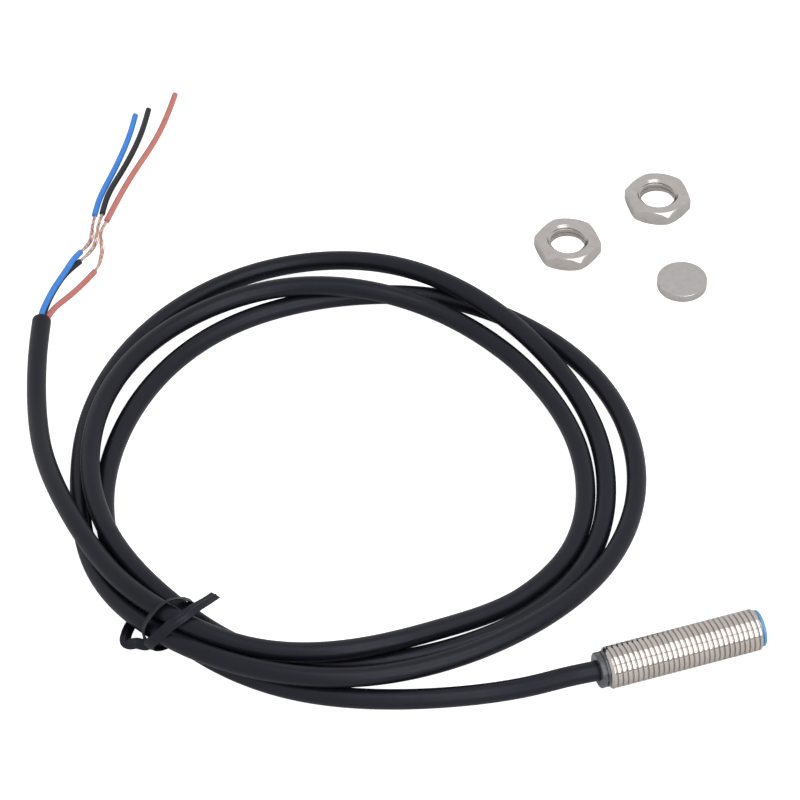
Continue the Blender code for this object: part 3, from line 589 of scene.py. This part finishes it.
def magnet():
    """A plated disc with a rounded rim, worn a little unevenly."""
    edge, thick = MAGNET_EDGE, MAGNET_HIGH.z - MAGNET_LOW.z
    radius = (MAGNET_HIGH.x - MAGNET_LOW.x) / 2.0
    profile = [(0.0, thick), (radius * 0.5, thick), (radius * 0.85, thick),
               *arc(radius - edge, thick - edge, edge, 90.0, 0.0, 6), (radius, thick / 2.0),
               *arc(radius - edge, edge, edge, 0.0, -90.0, 6), (radius * 0.6, 0.0), (0.0, 0.0)]
    vertices, faces = turned(profile, around(MAGNET_SIDES))
    centre = (MAGNET_LOW + MAGNET_HIGH) / 2.0
    centre.z = MAGNET_LOW.z
    worn = []
    for height, x, y in vertices:
        at_rim = max(0.0, 1.0 - abs(math.hypot(x, y) - radius) / (2.0 * edge))
        nick = max(0.0, noise.noise(Vector((x, y, height)) / MAGNET_NICK_SIZE) - 0.25) * at_rim
        worn.append(centre + Vector((x, y, height)) * (1.0 - MAGNET_NICK_DEPTH * nick))
    piece("magnet_disc", worn, faces, MAGNET_NICKEL, "target_magnet", "magnet", "target_magnet")


# Cable

def coil_stations():
    stations = []
    for turn in TURNS:
        for step, (radius, height) in enumerate(turn):
            angle = math.radians(TIE_CLOCK - STATION_STEP * step)
            spot = Vector((math.cos(angle), math.sin(angle), 0.0)) * radius * MM + COIL_CENTRE
            stations.append(spot + Vector((0.0, 0.0, height * MM + FLOOR_Z)))
    return stations


def cable():
    """The whole jacket, from inside the barrel round the coil to the stripped end."""
    route = spline_through(placed(LEAD_ROUTE) + coil_stations() + placed(TAIL_ROUTE), 1.0 * MM)
    inner = np.array([(x, 0.0, 0.0) for x in np.arange(INNER_END_X, route[0][0] - 0.5 * MM, -1.0 * MM)])
    points = np.vstack([inner, route])
    points[:, 2] = np.maximum(points[:, 2], FLOOR_Z + CABLE_RADIUS)
    vertices, faces, skin = tube(points, CABLE_RADIUS, 28, JACKET_EDGE)
    made = piece("cable", vertices, faces, JACKET, "sensor", "jacket", "cable_lead", "cable_coil",
                 "cable_tail", skin=skin)
    return made, points, route


def insulated(name, routes, colour, node):
    """A length of one core's insulation."""
    points = spline_through(placed(routes[colour]), 0.8 * MM)
    vertices, faces, skin = tube(points, CORE_RADIUS, 16, CORE_EDGE)
    return piece(f"{colour}_{name}", vertices, faces, CORE_FINISH[colour], "sensor", f"core_{colour}",
                 f"{colour}_{node}", skin=skin)


def copper_bundle(colour):
    """Fine copper wires twisted loosely together, a few of them standing away from the rest."""
    points = spline_through(placed(STRANDS[colour]), 0.5 * MM)
    _, side, up = directions_along(points)
    share = np.linspace(0.0, 1.0, len(points))
    shapes = []
    for wire in range(WIRES):
        away = BUNDLE_HEART + BUNDLE_SPREAD * math.sqrt((wire + 0.5) / WIRES)
        stray = 1.0 + (1.6 if wire % STRAY_EVERY == 2 else 0.25) * np.sin(math.pi * share) ** 2
        angle = wire * 2.4 + share * TURN * BUNDLE_TWIST + 0.5 * np.sin(share * 9.0 + wire)
        offset = side * np.cos(angle)[:, None] + up * np.sin(angle)[:, None]
        line = points + offset * (away * stray)[:, None]
        line[:, 2] = np.maximum(line[:, 2], FLOOR_Z + WIRE_RADIUS)
        vertices, faces, _ = tube(line, WIRE_RADIUS, 6, WIRE_EDGE)
        shapes.append((vertices, faces))
    return piece(f"{colour}_copper", *joined(*shapes), COPPER, "sensor", "copper", f"{colour}_strands",
                 sharp=60.0)


# Twist tie

def twist_tie():
    """A plastic ribbon over a wire: a small folded loop, a turn round the bundle, and a free end over it."""
    clock = math.radians(TIE_CLOCK)
    outward = Vector((math.cos(clock), math.sin(clock), 0.0))
    along = Vector((-math.sin(clock), math.cos(clock), 0.0))
    middle = COIL_CENTRE + outward * TIE_RADIUS + Vector((0.0, 0.0, FLOOR_Z))

    def local(out, far, up):
        return outward * out + along * far + Vector((0.0, 0.0, up))

    knots = [[*(middle + local(*spot) * MM), *(local(*face) * MM)] for spot, face in TIE_ROUTE]
    curve = spline_through(knots, 0.4 * MM)
    points, faces_out = curve[:, :3], curve[:, 3:]
    ahead = np.gradient(points, axis=0)
    ahead /= np.linalg.norm(ahead, axis=1)[:, None]
    across = np.cross(ahead, faces_out)
    across /= np.linalg.norm(across, axis=1)[:, None]
    out = np.cross(across, ahead)
    outline = list(RIBBON_HALF) + [(-a, -t) for a, t in RIBBON_HALF]
    vertices = [point + (a * w + t * o) * MM
                for point, w, o in zip(points, across, out) for a, t in outline]
    faces = lattice(len(points), len(outline))
    faces.append(tuple(range(len(outline))))
    faces.append(tuple(range((len(points) - 1) * len(outline), len(points) * len(outline))))
    return piece("tie_ribbon", vertices, faces, TIE_BLACK, "sensor", "tie", "twist_tie", sharp=50.0)


# Stage, light and camera

def area_light(name, power, size, place, aim):
    light = bpy.data.lights.new(name, "AREA")
    light.shape = "RECTANGLE"
    light.size, light.size_y = size
    light.energy = power
    lamp = bpy.data.objects.new(name, light)
    bpy.context.scene.collection.objects.link(lamp)
    lamp.location = place
    lamp.rotation_euler = (aim - place).to_track_quat("-Z", "Y").to_euler()


def softbox_place(angle, sideways):
    """A place on the softboxes' arc over the target, given in radians up from the front and in metres."""
    rise = Vector((0.0, -math.cos(angle), math.sin(angle))) * SOFTBOX_DISTANCE
    return VIEW_TARGET + rise + Vector((SOFTBOX_DISTANCE * SOFTBOX_SIDEWAYS + sideways, 0.0, 0.0))


def softboxes():
    aim = VIEW_TARGET + Vector((SOFTBOX_DISTANCE * SOFTBOX_SIDEWAYS, 0.0, 0.0))
    for name, low, high in SOFTBOXES:
        height = 2.0 * SOFTBOX_DISTANCE * math.tan(math.radians((high - low) / 2.0))
        place = softbox_place(math.radians((low + high) / 2.0), 0.0)
        area_light(f"{name}_softbox", SOFTBOX_POWER * height, (SOFTBOX_LENGTH, height), place, aim)


def dark_slats():
    """Black strips in the gaps below and between the softboxes, which nickel shows as thin dark lines."""
    edges = [SLAT_FOOT] + [angle for _, low, high in SOFTBOXES for angle in (low, high)]
    ends = (-SOFTBOX_LENGTH / 2.0, SOFTBOX_LENGTH / 2.0)
    vertices = [softbox_place(math.radians(angle), end) for angle in edges[:-1] for end in ends]
    faces = [(i, i + 1, i + 3, i + 2) for i in range(0, len(vertices), 4)]
    mesh = bpy.data.meshes.new("dark_slats")
    mesh.from_pydata(vertices, [], faces)
    mesh.materials.append(finish("black_card", (0.03, 0.03, 0.03), (0.02, 0.02, 0.02), 0.8, patch=40.0))
    slats = bpy.data.objects.new("dark_slats", mesh)
    slats.visible_camera = False
    slats.visible_shadow = False
    bpy.context.scene.collection.objects.link(slats)


def white_paper():
    """White paper, brightened for the camera as a photographer brightens it afterwards."""
    mesh = bpy.data.meshes.new("floor")
    bm = bmesh.new()
    bmesh.ops.create_circle(bm, cap_ends=True, segments=96, radius=PAPER_RADIUS)
    bm.to_mesh(mesh)
    bm.free()
    floor = bpy.data.objects.new("floor", mesh)
    floor.location = VIEW_TARGET
    bpy.context.scene.collection.objects.link(floor)
    paper = finish("white_paper", (0.67, 0.67, 0.67), (0.65, 0.65, 0.65), 0.8, patch=40.0, grain=1.0,
                   relief=0.01, Emission_Color=(1.0, 1.0, 1.0, 1.0))
    nodes, links = paper.node_tree.nodes, paper.node_tree.links
    glow = nodes.new("ShaderNodeMath")
    glow.operation = "MULTIPLY"
    glow.inputs[1].default_value = PAPER_GLOW
    links.new(nodes.new("ShaderNodeLightPath").outputs["Is Camera Ray"], glow.inputs[0])
    links.new(glow.outputs["Value"], nodes["Principled BSDF"].inputs["Emission Strength"])
    mesh.materials.append(paper)


def backdrop():
    world = bpy.data.worlds.new("studio")
    bpy.context.scene.world = world
    world.use_nodes = True
    background = world.node_tree.nodes["Background"]
    background.inputs["Color"].default_value = BACKDROP_COLOUR
    background.inputs["Strength"].default_value = BACKDROP_STRENGTH
    bpy.context.scene.view_settings.view_transform = "Standard"


def camera():
    lens = bpy.data.cameras.new("camera")
    lens.angle = VIEW_ANGLE
    lens.clip_start, lens.clip_end = 0.01, 20.0
    eye = bpy.data.objects.new("camera", lens)
    bpy.context.scene.collection.objects.link(eye)
    level = Vector((-math.sin(VIEW_BEARING), -math.cos(VIEW_BEARING), 0.0))
    back = level * math.cos(VIEW_TILT) + Vector((0.0, 0.0, math.sin(VIEW_TILT)))
    eye.location = VIEW_TARGET + back * VIEW_DISTANCE
    eye.rotation_euler = (-back).to_track_quat("-Z", "Y").to_euler()
    bpy.context.scene.camera = eye


barrel()
sensing_cap()
bush()
for nut in NUT_CORNERS:
    lock_nut(nut)
magnet()
jacket, jacket_line, cable_line = cable()
with_cable = [twist_tie()]
for core_colour in CORES:
    with_cable.append(insulated("insulation", CORES, core_colour, "core"))
    with_cable.append(copper_bundle(core_colour))
    with_cable.append(insulated("tip", SLEEVES, core_colour, "tip_sleeve"))
for node, material in INSIDE.items():
    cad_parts[node].data.materials.clear()
    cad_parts[node].data.materials.append(material)

white_paper()
backdrop()
softboxes()
dark_slats()
camera()
